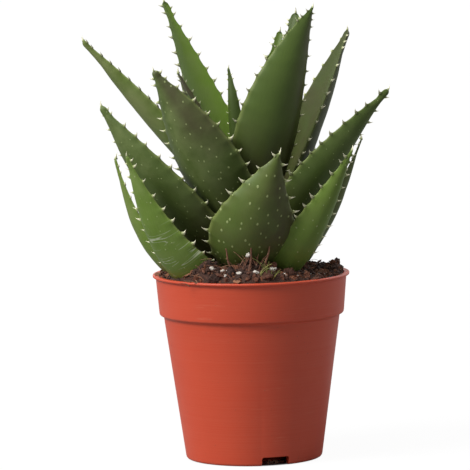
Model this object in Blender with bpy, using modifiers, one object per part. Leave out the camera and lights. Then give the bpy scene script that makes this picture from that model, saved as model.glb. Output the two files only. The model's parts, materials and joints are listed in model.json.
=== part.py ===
# Potted aloe: a turned nursery pot, its soil, a short stem, the leaves of the rosette
# and the loose grains and stalks that lie on the soil.
# Metres, +Z up. The origin is the centre of the pot's foot, and the plant's front looks along -Y.
import math

import bmesh
import bpy
import numpy as np
from mathutils import Matrix, Vector
from mathutils.bvhtree import BVHTree

MM = 0.001
GAP = 0.3 * MM             # clearance between neighbouring pieces
LEAF_ROOM = 0.35 * MM      # kept free round a leaf by the pieces that it presses into
ROOM_REACH = 3.0           # limit on that clearance's reach at a sharp margin, in clearances
MERGE = 0.0001
SLIVER = 0.01 * MM         # trimmed edges shorter than this are closed up

# --- pot -----------------------------------------------------------------------------
POT_HEIGHT = 99.0 * MM
LIP_RADIUS = 52.5 * MM
LIP_HEIGHT = 1.2 * MM
LIP_OVERHANG = 1.6 * MM    # how far the lip stands out from the collar
COLLAR_HEIGHT = 21.4 * MM
COLLAR_TAPER = 1.7 * MM    # loss of radius from the collar's top to its foot
COLLAR_STEP = 2.4 * MM     # loss of radius where the collar meets the body
BASE_RADIUS = 36.3 * MM
BASE_CORNER = 3.0 * MM
WALL = 1.3 * MM
FOOT_WIDTH = 2.6 * MM      # the standing ring under the wall
CHANNEL_HEIGHT = 5.4 * MM  # underside of the raised floor above the table
CENTRE_RADIUS = 21.0 * MM  # the low middle of the floor, which also stands on the table
FLOOR_SLOPE = 4.0 * MM     # width of the slope between the two floor levels
POT_STEPS = 48
DRAIN_COUNT = 3
DRAIN_TURN = 288.0         # azimuth of the first slot, in degrees
DRAIN_WIDTH = 15.0 * MM
DRAIN_HEIGHT = 4.8 * MM
FLOOR_HOLE_WIDTH = 8.0 * MM
FLOOR_HOLE_LENGTH = 4.5 * MM

# --- soil ----------------------------------------------------------------------------
SOIL_EDGE_DROP = 2.5 * MM  # soil below the lip at the wall
SOIL_HEAP = 6.0 * MM       # height of the heap round the stem above the soil's edge
SOIL_STEPS = 40
SOIL_LUMP = 0.7 * MM       # rise and fall of the crumbs on top
SOIL_RINGS = 5
CROWN_RADIUS = 16.0 * MM   # soil kept off the crown, where the leaves crowd the stem
CROWN_DEPTH = 24.0 * MM    # below the lip

# --- stem ----------------------------------------------------------------------------
STEM_FOOT = POT_HEIGHT - 54.0 * MM
STEM_TOP = POT_HEIGHT + 39.0 * MM
STEM_RADIUS = 6.0 * MM
STEM_TIP_RADIUS = 3.2 * MM
STEM_STEPS = 16

# --- leaves --------------------------------------------------------------------------
LEAF_SECTIONS = 11
LEAF_SIDE_POINTS = 6       # steps across one face of a leaf
LEAF_FOLD = 0.22           # how far the margins turn in, as a share of the half width
LEAF_OUTER_SHARE = 0.72    # share of the thickness outside the margins
LEAF_INNER_SHARE = 0.28
LEAF_DROOP = 0.5           # how far the outer face turns down, against 1 outwards
LEAF_END = 0.985           # place of the last ring, as a share of the length
LEAF_ROOT = 0.7            # how deep in the stem a leaf starts, as a share of its radius
LEAF_FLAT = 0.4            # share of the fold that lies outside the midline
LEAF_THIN_FOOT = 0.55      # thickness at the foot, as a share of the full one
LEAF_FULL_WIDTH = 0.6      # share of the width from which a leaf is at its full thickness
LEAF_STEEPEST = 1.1        # limit on the thickness, in half widths
LEAF_THINNEST = 0.35       # flesh left under the channel, as a share of the thickness
LEAF_SWELL = (2.2, 0.9)    # powers that thin a leaf out towards its tip
LEAF_ROUND = 0.75          # power that rounds the outer face

# name, azimuth of the foot (deg), height of the foot, middle, tip, width, thickness (mm, with
# heights above the pot's lip), width at the foot and place of the widest section (shares),
# taper power, channel depth (share of thickness), azimuth that the outer face looks to (deg)
LEAVES = (
    ("leaf_left_outer", 190, -5, (-50, -6, 9), (-71, -8, 63), 24, 8, .45, .40, 1.5, .45, 195),
    ("leaf_left_front", 222, -7, (-37, -28, 11), (-64, -38, 67), 32, 12, .40, .42, 1.5, .15, 230),
    ("leaf_left_low", 200, 3, (-46, -18, 46), (-77, -20, 92), 32, 10, .40, .40, 1.6, .20, 225),
    ("leaf_left_high", 165, 33, (-49, 14, 81), (-88, 25, 124), 28, 8, .35, .45, 1.6, .40, 195),
    ("leaf_front", 270, -1, (2, -38, 27), (16, -52, 68), 46, 13, .40, .48, 1.4, .10, 275),
    ("leaf_left_broad", 225, 21, (-24, -24, 65), (-49, -32, 111), 41, 13, .40, .42, 1.7, .15, 240),
    ("leaf_back_left_tall", 125, 31, (-20, 22, 80), (-45, 40, 144), 24, 8, .40, .40, 1.4, .30, 130),
    ("leaf_heart", 140, 35, (-7, 2, 78), (-10, 4, 109), 9, 5, .60, .40, 1.6, .30, 230),
    ("leaf_back_inner", 75, 31, (6, 14, 82), (17, 25, 128), 18, 7, .45, .40, 1.6, .30, 80),
    ("leaf_back_right_tall", 55, 27, (14, 24, 84), (27, 38, 136), 22, 8, .45, .40, 1.6, .30, 60),
    ("leaf_front_tall", 290, 27, (12, -18, 84), (35, -18, 143), 37, 13, .40, .42, 1.9, .10, 300),
    ("leaf_right_tall", 10, 21, (30, 4, 75), (53, 10, 129), 32, 11, .40, .45, 1.8, .40, 20),
    ("leaf_right_mid", 340, 7, (32, -16, 53), (74, -22, 99), 30, 11, .40, .42, 1.6, .20, 310),
    ("leaf_right_front", 320, -6, (25.5, -29, 18), (54, -40, 68), 25, 11, .45, .45, 1.6, .15, 300),
    ("leaf_right_outer", 350, -2, (36, -8, 19), (59, -5, 72), 25, 8, .40, .40, 1.6, .40, 350),
    ("leaf_left_inner", 150, 25, (-22, 14, 71), (-37, 20, 106), 18, 7, .40, .40, 1.6, .30, 150),
    ("leaf_back_middle", 90, 5, (2, 30, 39), (4, 58, 77), 36, 11, .40, .40, 1.6, .20, 90),
    ("leaf_back_right", 55, 0, (22, 26, 19), (36, 50, 61), 32, 10, .40, .42, 1.6, .20, 55),
    ("leaf_back_left", 125, -1, (-20, 30, 35), (-34, 56, 73), 34, 10, .40, .42, 1.6, .20, 125),
    ("leaf_back_left_low", 155, -3, (-32, 16, 11), (-50, 34, 49), 28, 9, .40, .42, 1.6, .20, 155),
    ("leaf_back_right_low", 25, -4, (28, 16, 11), (44, 26, 47), 26, 9, .40, .42, 1.6, .20, 25),
)

# --- perlite and stalks ---------------------------------------------------------------
# azimuth (deg), distance from the axis and diameter (mm)
PERLITE = (
    (243, 45, 2.8), (250, 43, 2.6), (262, 44.5, 2.6), (273.5, 45, 2.8), (286, 41, 3.6),
    (294, 44, 2.6), (264, 37, 4.0), (300, 39, 3.0), (334, 43, 2.6), (60, 43, 3.0),
    (105, 44, 2.8), (140, 44, 3.2),
)
PERLITE_FLATTEN = 0.75
PERLITE_SKEW = 1.25        # longer one way than the other
# azimuth (deg) and distance of the foot, length and the sideways lean of the top (mm)
STALKS = ((268, 42, 16, 3), (257, 42, 13, -4), (279, 42, 14, 4))
STALK_RADIUS = 0.5 * MM
STALK_BEND = 0.25          # bow of a stalk, as a share of its lean
STALK_POINTS = 6


def clear_scene():
    for old in list(bpy.data.objects):
        bpy.data.objects.remove(old, do_unlink=True)


def material(name, colour, roughness):
    made = bpy.data.materials.new(name)
    made.use_nodes = True
    shader = made.node_tree.nodes["Principled BSDF"]
    shader.inputs["Base Color"].default_value = (*colour, 1.0)
    shader.inputs["Roughness"].default_value = roughness
    shader.inputs["Metallic"].default_value = 0.0
    return made


def collection(name):
    made = bpy.data.collections.new(name)
    bpy.context.scene.collection.children.link(made)
    return made


def add_object(name, mesh, home, finish=None):
    made = bpy.data.objects.new(name, mesh)
    home.objects.link(made)
    if finish is not None:
        mesh.materials.append(finish)
    return made


def as_cutter(obj):
    obj.hide_render = True
    obj.display_type = "WIRE"
    return obj


def cut(target, cutter, label, solver="EXACT"):
    boolean = target.modifiers.new(label, "BOOLEAN")
    boolean.operation = "DIFFERENCE"
    boolean.solver = solver
    boolean.object = cutter


def trim(target, cutter):
    """Cut at once. Leaves that clasp each other leave thin slivers, which need this solver."""
    cut(target, cutter, cutter.name, "MANIFOLD")
    bake(target)


def turned(name, profile, steps, home, finish=None):
    """A profile of (radius, height) points turned round Z."""
    mesh = bpy.data.meshes.new(name)
    points = [(radius, 0.0, height) for radius, height in profile]
    edges = [(i, i + 1) for i in range(len(points) - 1)]
    mesh.from_pydata(points, edges, [])
    made = add_object(name, mesh, home, finish)
    screw = made.modifiers.new("Screw", "SCREW")
    screw.steps = steps
    screw.render_steps = steps
    screw.use_merge_vertices = True
    screw.merge_threshold = MERGE
    screw.use_smooth_shade = True
    return made


def bake(obj):
    """Replace an object's modifiers by the mesh they make."""
    graph = bpy.context.evaluated_depsgraph_get()
    mesh = bpy.data.meshes.new_from_object(obj.evaluated_get(graph))
    obj.modifiers.clear()
    obj.data = mesh


def keep_largest_island(obj):
    """Delete scraps that trimming has parted from the main piece."""
    shape = bmesh.new()
    shape.from_mesh(obj.data)
    bmesh.ops.remove_doubles(shape, verts=shape.verts, dist=SLIVER)
    bmesh.ops.dissolve_degenerate(shape, edges=shape.edges, dist=SLIVER)
    if not all(edge.is_manifold for edge in shape.edges):
        shape.clear()
        shape.from_mesh(obj.data)
    left = set(shape.faces)
    islands = []
    while left:
        start = left.pop()
        island = [start]
        for face in island:
            for edge in face.edges:
                for other in edge.link_faces:
                    if other in left:
                        left.remove(other)
                        island.append(other)
        islands.append(island)
    islands.sort(key=lambda island: sum(face.calc_area() for face in island))
    scraps = [face for island in islands[:-1] for face in island]
    bmesh.ops.delete(shape, geom=scraps, context="FACES")
    shape.to_mesh(obj.data)
    shape.free()


# --- pot -------------------------------------------------------------------------------
def collar_foot_height():
    return POT_HEIGHT - COLLAR_HEIGHT


def wall_radius(height):
    """Outer radius of the body at a height, below the collar."""
    top = LIP_RADIUS - LIP_OVERHANG - COLLAR_TAPER - COLLAR_STEP
    share = height / (collar_foot_height() - COLLAR_STEP)
    return BASE_RADIUS + (top - BASE_RADIUS) * share


def inner_wall():
    """Inner wall from the floor to the lip, as (radius, height) points."""
    body_top = collar_foot_height() - COLLAR_STEP
    collar_top_radius = LIP_RADIUS - LIP_OVERHANG
    floor_top = CHANNEL_HEIGHT + WALL
    return [
        (wall_radius(floor_top) - WALL, floor_top),
        (wall_radius(body_top) - WALL, body_top),
        (collar_top_radius - COLLAR_TAPER - WALL, collar_foot_height() + WALL),
        (collar_top_radius - WALL, POT_HEIGHT),
    ]


def floor_top():
    """Upper side of the floor, from the axis outwards."""
    return [
        (0.0, WALL),
        (CENTRE_RADIUS - WALL, WALL),
        (CENTRE_RADIUS + FLOOR_SLOPE - WALL, CHANNEL_HEIGHT + WALL),
    ]


def make_pot(home, cutters):
    collar_top_radius = LIP_RADIUS - LIP_OVERHANG
    collar_foot_radius = collar_top_radius - COLLAR_TAPER
    body_top = collar_foot_height() - COLLAR_STEP
    corner = [
        (wall_radius(BASE_CORNER) - BASE_CORNER * (1 - math.cos(turn)),
         BASE_CORNER * (1 - math.sin(turn)))
        for turn in (0.0, math.pi / 6, math.pi / 3, math.pi / 2)
    ]
    outer = [
        (LIP_RADIUS, POT_HEIGHT),
        (LIP_RADIUS, POT_HEIGHT - LIP_HEIGHT),
        (collar_top_radius, POT_HEIGHT - LIP_HEIGHT - LIP_OVERHANG / 2),
        (collar_foot_radius, collar_foot_height()),
        (wall_radius(body_top), body_top),
    ]
    foot_inner = corner[-1][0] - FOOT_WIDTH + BASE_CORNER / 2
    under = [
        (foot_inner, 0.0),
        (foot_inner, CHANNEL_HEIGHT),
        (CENTRE_RADIUS + FLOOR_SLOPE, CHANNEL_HEIGHT),
        (CENTRE_RADIUS, 0.0),
        (0.0, 0.0),
    ]
    profile = floor_top() + inner_wall() + outer + corner + under
    pot = turned("pot", profile, POT_STEPS, home,
                 material("terracotta_plastic", (0.50, 0.11, 0.055), 0.42))
    for index in range(DRAIN_COUNT):
        azimuth = math.radians(DRAIN_TURN + index * 360.0 / DRAIN_COUNT)
        slot = box_cutter(
            f"drain_slot_{index + 1}", azimuth, BASE_RADIUS,
            (3 * FOOT_WIDTH + BASE_CORNER, DRAIN_WIDTH, 2 * DRAIN_HEIGHT), 0.0, cutters)
        hole_radius = foot_inner - FLOOR_HOLE_LENGTH / 2 - WALL
        hole = box_cutter(
            f"floor_hole_{index + 1}", azimuth, hole_radius,
            (FLOOR_HOLE_LENGTH, FLOOR_HOLE_WIDTH, 4 * WALL),
            CHANNEL_HEIGHT + WALL / 2, cutters)
        cut(pot, slot, slot.name)
        cut(pot, hole, hole.name)
    return pot


def box_cutter(name, azimuth, radius, size, height, cutters):
    shape = bmesh.new()
    bmesh.ops.create_cube(shape, size=1.0)
    bmesh.ops.scale(shape, vec=size, verts=shape.verts)
    mesh = bpy.data.meshes.new(name)
    shape.to_mesh(mesh)
    shape.free()
    made = as_cutter(add_object(name, mesh, cutters))
    made.location = (radius * math.cos(azimuth), radius * math.sin(azimuth), height)
    made.rotation_euler = (0.0, 0.0, azimuth)
    return made


# --- soil ------------------------------------------------------------------------------
def soil_height(radius):
    """Height of the soil's surface: a low heap round the stem."""
    edge = POT_HEIGHT - SOIL_EDGE_DROP
    share = min(radius / inner_wall()[-1][0], 1.0)
    return edge + SOIL_HEAP * (1 - share ** 1.6)


def make_soil(home):
    wall = [(radius - GAP, height) for radius, height in inner_wall()]
    floor = [(radius - GAP, height + GAP) for radius, height in floor_top()]
    floor[0] = (0.0, WALL + GAP)
    wall[0] = (wall[0][0], wall[0][1] + GAP)
    edge_height = soil_height(wall[-1][0])
    edge_radius = wall[-2][0] + (wall[-1][0] - wall[-2][0]) * (
        (edge_height - wall[-2][1]) / (wall[-1][1] - wall[-2][1]))
    surface = [
        (edge_radius * ring / SOIL_RINGS, soil_height(edge_radius * ring / SOIL_RINGS))
        for ring in range(SOIL_RINGS + 1)
    ]
    side = [surface[-1]] + wall[-2::-1]
    profile = surface[:-1] + side + floor[::-1]
    soil = turned("soil", profile, SOIL_STEPS, home,
                  material("potting_soil", (0.055, 0.028, 0.018), 0.95))
    bake(soil)
    for vertex in soil.data.vertices:
        radius = math.hypot(vertex.co.x, vertex.co.y)
        on_top = vertex.co.z > edge_height - GAP
        if on_top and radius < edge_radius - GAP:
            vertex.co.z += SOIL_LUMP * lump(vertex.co.x / MM, vertex.co.y / MM)
    shape = bmesh.new()
    shape.from_mesh(soil.data)
    bmesh.ops.triangulate(shape, faces=shape.faces)
    shape.to_mesh(soil.data)
    shape.free()
    return soil


def lump(x, y):
    return math.sin(0.31 * x + 1.3) * math.cos(0.27 * y - 0.4) + 0.5 * math.sin(0.13 * (x - y))


# --- stem ------------------------------------------------------------------------------
def stem_profile(grow):
    return [
        (0.0, STEM_TOP + grow),
        (STEM_TIP_RADIUS * 0.6 + grow, STEM_TOP + grow),
        (STEM_TIP_RADIUS + grow, STEM_TOP - STEM_TIP_RADIUS),
        (STEM_RADIUS + grow, POT_HEIGHT),
        (STEM_RADIUS + grow, STEM_FOOT + STEM_RADIUS),
        (STEM_RADIUS * 0.5 + grow, STEM_FOOT - grow),
        (0.0, STEM_FOOT - grow),
    ]


def crown_room(cutters):
    """The space that the crown and the buried stem take in the soil."""
    buried = STEM_RADIUS + GAP
    profile = [
        (0.0, POT_HEIGHT + 2 * SOIL_HEAP),
        (CROWN_RADIUS, POT_HEIGHT + 2 * SOIL_HEAP),
        (CROWN_RADIUS, POT_HEIGHT),
        (buried, POT_HEIGHT - CROWN_DEPTH),
        (buried, STEM_FOOT + STEM_RADIUS),
        (STEM_RADIUS * 0.5 + GAP, STEM_FOOT - GAP),
        (0.0, STEM_FOOT - GAP),
    ]
    return as_cutter(turned("crown_room", profile, STEM_STEPS, cutters))


def make_stem(home, cutters):
    bark = material("stem_bark", (0.20, 0.22, 0.08), 0.7)
    stem = turned("stem", stem_profile(0.0), STEM_STEPS, home, bark)
    room = as_cutter(turned("stem_room", stem_profile(GAP * 1.2), STEM_STEPS, cutters))
    return stem, room


# --- leaves ----------------------------------------------------------------------------
def unit(vectors):
    return vectors / np.linalg.norm(vectors, axis=-1, keepdims=True)


def leaf_rings(leaf):
    """Rings of points round a leaf, from its foot to its tip."""
    (_, azimuth, foot, middle, tip, width, thickness,
     foot_share, widest, taper, channel, face) = leaf
    turn = math.radians(azimuth)
    inside_stem = STEM_RADIUS / MM * LEAF_ROOT
    lip = np.array((0.0, 0.0, POT_HEIGHT / MM))
    start = np.array((inside_stem * math.cos(turn), inside_stem * math.sin(turn), foot)) + lip
    tip = np.array(tip) + lip
    control = 2 * (np.array(middle) + lip) - (start + tip) / 2
    along = np.linspace(0.0, LEAF_END, LEAF_SECTIONS)[:, None]
    spine = (1 - along) ** 2 * start + 2 * along * (1 - along) * control + along ** 2 * tip
    tangent = unit(2 * (1 - along) * (control - start) + 2 * along * (tip - control))
    look = math.radians(face)
    outward = np.array((math.cos(look), math.sin(look), -LEAF_DROOP))
    normal = unit(outward - (tangent @ outward)[:, None] * tangent)
    across = np.cross(tangent, normal)
    along = along[:, 0]
    rise = foot_share + (1 - foot_share) * np.sin(math.pi / 2 * np.clip(along / widest, 0, 1))
    fall = 1 - np.clip((along - widest) / (1 - widest), 0, 1) ** taper
    share = np.where(along < widest, rise, fall)
    half = width / 2 * share
    full = np.minimum(1, share / LEAF_FULL_WIDTH)
    depth = thickness * (LEAF_THIN_FOOT + (1 - LEAF_THIN_FOOT) * full)
    depth *= (1 - along ** LEAF_SWELL[0]) ** LEAF_SWELL[1]
    depth = np.minimum(depth, LEAF_STEEPEST * half)
    margin = np.cos(np.linspace(0.0, math.pi, LEAF_SIDE_POINTS + 1))
    crown = 1 - margin ** 2
    rings = []
    for i in range(LEAF_SECTIONS):
        fold = LEAF_FOLD * half[i] * (LEAF_FLAT - margin ** 2)
        outer = fold + depth[i] * LEAF_OUTER_SHARE * crown ** LEAF_ROUND
        inner = fold - depth[i] * (LEAF_INNER_SHARE - channel) * crown
        inner = np.minimum(inner, outer - LEAF_THINNEST * crown * depth[i])
        side = margin * half[i]
        front = spine[i] + np.outer(side, across[i]) + np.outer(outer, normal[i])
        back = spine[i] + np.outer(side, across[i]) + np.outer(inner, normal[i])
        edge = (front[[0, -1]] + back[[0, -1]]) / 2
        front[[0, -1]] = edge
        rings.append(np.vstack([front, back[-2:0:-1]]))
    return np.array(rings) * MM, tip * MM


def leaf_mesh(name, leaf):
    rings, point = leaf_rings(leaf)
    count = rings.shape[1]
    verts = [tuple(p) for ring in rings for p in ring] + [tuple(point)]
    faces = [tuple(range(count))]
    for section in range(len(rings) - 1):
        for step in range(count):
            after = (step + 1) % count
            low, high = section * count, (section + 1) * count
            faces.append((low + step, high + step, high + after))
            faces.append((low + step, high + after, low + after))
    last = (len(rings) - 1) * count
    faces += [(last + step, len(verts) - 1, last + (step + 1) % count) for step in range(count)]
    mesh = bpy.data.meshes.new(name)
    mesh.from_pydata(verts, [], faces)
    shape = bmesh.new()
    shape.from_mesh(mesh)
    bmesh.ops.recalc_face_normals(shape, faces=shape.faces)
    shape.to_mesh(mesh)
    shape.free()
    mesh.shade_smooth()
    return mesh


def room_round(mesh, name):
    """A copy of a leaf's mesh, LEAF_ROOM larger all round, to cut its neighbours with."""
    shape = bmesh.new()
    shape.from_mesh(mesh)
    shape.normal_update()
    moves = [
        vert.normal * LEAF_ROOM * min(vert.calc_shell_factor(), ROOM_REACH)
        for vert in shape.verts
    ]
    for vert, move in zip(shape.verts, moves):
        vert.co += move
    room = bpy.data.meshes.new(name)
    shape.to_mesh(room)
    shape.free()
    return room


def tree_of(obj):
    shape = bmesh.new()
    shape.from_mesh(obj.data)
    tree = BVHTree.FromBMesh(shape)
    shape.free()
    return tree


def make_leaves(home, cutters, stem_room):
    """Each leaf is trimmed round the stem and round the younger leaves that it clasps."""
    flesh = material("aloe_leaf", (0.10, 0.19, 0.07), 0.45)
    youngest_first = sorted(LEAVES, key=lambda leaf: -leaf[2])
    rooms = []
    leaves = []
    for leaf in youngest_first:
        name = leaf[0]
        made = add_object(name, leaf_mesh(name, leaf), home, flesh)
        room = as_cutter(add_object(f"{name}_room", room_round(made.data, name), cutters))
        shape = tree_of(made)
        trim(made, stem_room)
        for other, tree in rooms:
            if shape.overlap(tree):
                trim(made, other)
        keep_largest_island(made)
        rooms.append((room, tree_of(room)))
        leaves.append(made)
    return leaves, rooms


# --- perlite and stalks -----------------------------------------------------------------
def surface_under(tree, x, y):
    """Height of the soil at a place."""
    hit = tree.ray_cast(Vector((x, y, 2 * POT_HEIGHT)), Vector((0, 0, -1)))[0]
    return hit.z


def make_perlite(home, soil_tree):
    white = material("perlite", (0.75, 0.72, 0.66), 0.9)
    for number, (azimuth, distance, size) in enumerate(PERLITE, 1):
        turn = math.radians(azimuth)
        x, y = distance * MM * math.cos(turn), distance * MM * math.sin(turn)
        radius = size / 2 * MM
        shape = bmesh.new()
        bmesh.ops.create_icosphere(shape, subdivisions=2, radius=radius)
        bmesh.ops.scale(shape, vec=(PERLITE_SKEW, 1.0, PERLITE_FLATTEN), verts=shape.verts)
        bmesh.ops.rotate(shape, verts=shape.verts, matrix=Matrix.Rotation(2 * turn, 3, "Z"))
        mesh = bpy.data.meshes.new(f"perlite_{number:02d}")
        shape.to_mesh(mesh)
        shape.free()
        grain = add_object(mesh.name, mesh, home, white)
        ground = max(
            surface_under(soil_tree, x + radius * math.cos(side), y + radius * math.sin(side))
            for side in (0, math.pi / 2, math.pi, 1.5 * math.pi))
        grain.location = (x, y, ground + GAP + radius * PERLITE_FLATTEN)


def stalk_line(distance, stalk, soil_tree):
    """Points along a stalk whose foot is at the given distance from the axis."""
    azimuth, _, length, lean = stalk
    turn = math.radians(azimuth)
    x, y = distance * math.cos(turn), distance * math.sin(turn)
    foot = surface_under(soil_tree, x, y) + GAP + STALK_RADIUS
    line = []
    for index in range(STALK_POINTS):
        share = index / (STALK_POINTS - 1)
        bow = lean * (share + STALK_BEND * math.sin(math.pi * share))
        line.append(Vector((x + bow * MM, y, foot + length * share * MM)))
    return line


def touches(line, rooms):
    reach = STALK_RADIUS + GAP
    return any(
        tree.find_nearest(point, reach)[0] is not None for point in line for _, tree in rooms)


def make_stalks(home, soil_tree, rooms):
    """A stalk stands at its own distance, or as much further out as the leaves ask for."""
    straw = material("dry_stalk", (0.30, 0.20, 0.12), 0.85)
    for number, stalk in enumerate(STALKS, 1):
        distance = stalk[1] * MM
        line = stalk_line(distance, stalk, soil_tree)
        while touches(line, rooms):
            distance += GAP
            line = stalk_line(distance, stalk, soil_tree)
        curve = bpy.data.curves.new(f"dry_stalk_{number}", "CURVE")
        curve.dimensions = "3D"
        curve.bevel_depth = STALK_RADIUS
        curve.bevel_resolution = 2
        curve.use_fill_caps = True
        spline = curve.splines.new("POLY")
        spline.points.add(len(line) - 1)
        for point, spot in zip(spline.points, line):
            point.co = (*spot, 1.0)
        add_object(curve.name, curve, home, straw)


def main():
    clear_scene()
    home = collection("potted_aloe")
    cutters = collection("cutters")
    make_pot(home, cutters)
    soil = make_soil(home)
    _, stem_room = make_stem(home, cutters)
    _, rooms = make_leaves(home, cutters, stem_room)
    soil_tree = tree_of(soil)
    trim(soil, crown_room(cutters))
    for room, tree in reversed(rooms):
        if soil_tree.overlap(tree):
            trim(soil, room)
    keep_largest_island(soil)
    soil_tree = tree_of(soil)
    make_perlite(home, soil_tree)
    make_stalks(home, soil_tree, rooms)


main()
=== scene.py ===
# Potted aloe: the looks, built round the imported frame. Metres, +Z up.
import json
import math

import bmesh
import bpy
import numpy as np
from mathutils import Matrix, Vector, noise

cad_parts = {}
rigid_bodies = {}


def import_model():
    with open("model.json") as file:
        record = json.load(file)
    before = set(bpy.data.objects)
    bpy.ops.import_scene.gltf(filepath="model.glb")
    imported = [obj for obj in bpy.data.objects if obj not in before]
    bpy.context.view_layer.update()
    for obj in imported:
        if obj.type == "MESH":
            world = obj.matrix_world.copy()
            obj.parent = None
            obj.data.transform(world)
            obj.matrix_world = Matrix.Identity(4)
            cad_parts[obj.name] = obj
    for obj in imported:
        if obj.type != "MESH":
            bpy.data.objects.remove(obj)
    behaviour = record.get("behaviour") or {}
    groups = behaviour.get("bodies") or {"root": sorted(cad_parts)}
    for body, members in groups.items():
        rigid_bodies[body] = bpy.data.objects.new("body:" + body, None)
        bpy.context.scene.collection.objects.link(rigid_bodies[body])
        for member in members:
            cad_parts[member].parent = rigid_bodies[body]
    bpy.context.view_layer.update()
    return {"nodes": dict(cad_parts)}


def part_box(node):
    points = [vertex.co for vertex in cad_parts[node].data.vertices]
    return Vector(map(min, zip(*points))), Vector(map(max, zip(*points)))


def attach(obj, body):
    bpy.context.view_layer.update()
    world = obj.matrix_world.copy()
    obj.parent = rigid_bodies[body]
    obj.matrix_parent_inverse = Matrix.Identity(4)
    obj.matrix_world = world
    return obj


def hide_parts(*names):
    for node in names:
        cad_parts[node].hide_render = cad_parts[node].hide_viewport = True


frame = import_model()
mm = 0.001
potLow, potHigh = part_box("pot")
lipHeight = potHigh.z
lipRadius = (potHigh.x - potLow.x) / 2
print("frame loaded, pot", round(lipHeight / mm, 1), "mm high")


# shader helpers: a wire is an output socket that can be used in sums
class Wire:
    def __init__(self, book, socket):
        self.book = book
        self.socket = socket

    def maths(self, operation, other=0.0):
        return self.book.add("ShaderNodeMath", {"operation": operation}, {0: self, 1: other})

    def __add__(self, other):
        return self.maths("ADD", other)

    def __mul__(self, other):
        return self.maths("MULTIPLY", other)

    def __sub__(self, other):
        return self.maths("SUBTRACT", other)

    def __rsub__(self, other):
        return self.maths("MULTIPLY", -1.0).maths("ADD", other)

    __radd__ = __add__
    __rmul__ = __mul__

    def between(self, low, high):  # 0 below low, 1 above high, smooth between
        settings = {"interpolation_type": "SMOOTHSTEP"}
        return self.book.add("ShaderNodeMapRange", settings, {0: self, 1: low, 2: high})


class NodeBook:  # writes the nodes of one material or world
    def __init__(self, owner):
        self.owner = owner
        owner.use_nodes = True
        self.tree = owner.node_tree

    def add(self, kind, settings=None, sockets=None, output=0):
        node = self.tree.nodes.new(kind)
        for key, value in (settings or {}).items():
            if key == "stops":
                self.setStops(node.color_ramp, value)
            else:
                setattr(node, key, value)
        for key, value in (sockets or {}).items():
            self.feed(node.inputs[key], value)
        return Wire(self, node.outputs[output])

    def setStops(self, ramp, stops):
        while len(ramp.elements) < len(stops):
            ramp.elements.new(0.5)
        for element, (place, colour) in zip(ramp.elements, stops):
            element.position = place
            element.color = (*colour, 1.0)

    def feed(self, socket, value):
        if isinstance(value, Wire):
            self.tree.links.new(value.socket, socket)
        elif isinstance(value, tuple) and socket.type == "RGBA":
            socket.default_value = (*value, 1.0)
        else:
            socket.default_value = value

    def objectPlace(self):
        return self.add("ShaderNodeTexCoord", output="Object")

    def stretched(self, place, scale, turn=(0.0, 0.0, 0.0)):
        return self.add("ShaderNodeMapping", None, {0: place, "Rotation": turn, "Scale": scale})

    def speckle(self, place, scale, detail=4.0, rough=0.5, output=0):
        sockets = {"Vector": place, "Scale": scale, "Detail": detail, "Roughness": rough}
        return self.add("ShaderNodeTexNoise", None, sockets, output)

    def cells(self, place, scale, jitter=1.0, output="Distance"):  # flat cells, for a UV map
        sockets = {"Vector": place, "Scale": scale, "Randomness": jitter}
        return self.add("ShaderNodeTexVoronoi", {"voronoi_dimensions": "2D"}, sockets, output)

    def attribute(self, name):
        return self.add("ShaderNodeAttribute", {"attribute_name": name}, output="Fac")

    def mix(self, factor, first, second):
        settings = {"data_type": "RGBA", "clamp_factor": True}
        return self.add("ShaderNodeMix", settings, {0: factor, 6: first, 7: second}, 2)

    def bump(self, height, distance, strength=1.0):
        sockets = {"Height": height, "Distance": distance, "Strength": strength}
        return self.add("ShaderNodeBump", None, sockets)

    def finish(self, **values):
        shader = self.tree.nodes["Principled BSDF"]
        for key, value in values.items():
            self.feed(shader.inputs[key.replace("_", " ")], value)
        return self.owner


def newBook(name):
    return NodeBook(bpy.data.materials.new(name))


# leaf skin: waxy green with a grey bloom, pale raised spots, a paler margin and fine veins, with painted
# shade at the feet and in patches given per leaf
skinLook = {
    "deep": (0.040, 0.068, 0.012), "mid": (0.100, 0.158, 0.026), "bright": (0.185, 0.330, 0.026),
    "bloom": (0.225, 0.272, 0.106), "brown": (0.105, 0.062, 0.030), "margin": (0.225, 0.265, 0.080),
    "spot": (0.340, 0.400, 0.165), "base": (0.190, 0.270, 0.018), "shadedBase": (0.060, 0.085, 0.012),
    "scratch": (0.52, 0.55, 0.42), "paintedShade": (0.050, 0.038, 0.019),
    "spotCells": 1.9, "spotRadius": 0.135,
}


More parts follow.
